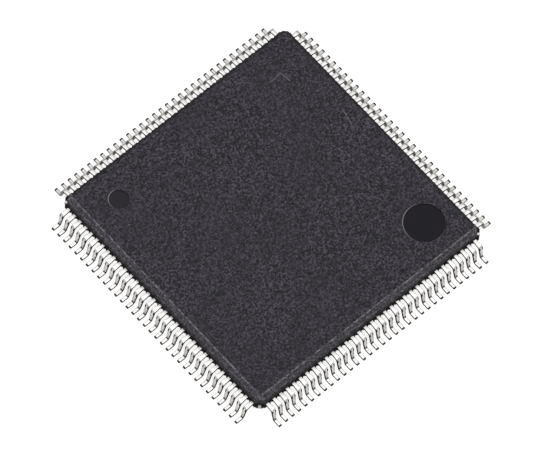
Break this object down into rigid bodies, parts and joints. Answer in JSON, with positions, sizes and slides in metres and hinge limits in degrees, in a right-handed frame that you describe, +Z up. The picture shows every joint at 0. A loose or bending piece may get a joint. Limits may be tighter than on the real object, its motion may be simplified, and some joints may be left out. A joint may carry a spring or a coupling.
{
  "type": "quad flat pack chip",
  "caption": "Square moulded chip package with gull-wing leads on all four sides, an index mark and an ejector mark on top.",
  "frame": {"origin": "middle of the plane that the feet stand on", "axes": "+Z up out of the top face; the index mark for lead 1 is at the -X +Y corner; the sides are west -X, south -Y, east +X and north +Y"},
  "size_m": [0.0316, 0.0316, 0.0033],
  "materials": {
    "mould_compound": "fine spark-eroded grain",
    "tinned_lead": "satin tin plating",
    "frame_alloy": "bare nickel-iron lead-frame alloy",
    "die_glue": "silver-filled epoxy",
    "silicon": "polished wafer"
  },
  "bodies": {
    "root": {"mould_body": "mould_compound", "leads_west": "tinned_lead", "leads_south": "tinned_lead", "leads_east": "tinned_lead", "leads_north": "tinned_lead", "die_pad": "frame_alloy", "die_attach": "die_glue", "silicon_die": "silicon"}
  },
  "joints": []
}
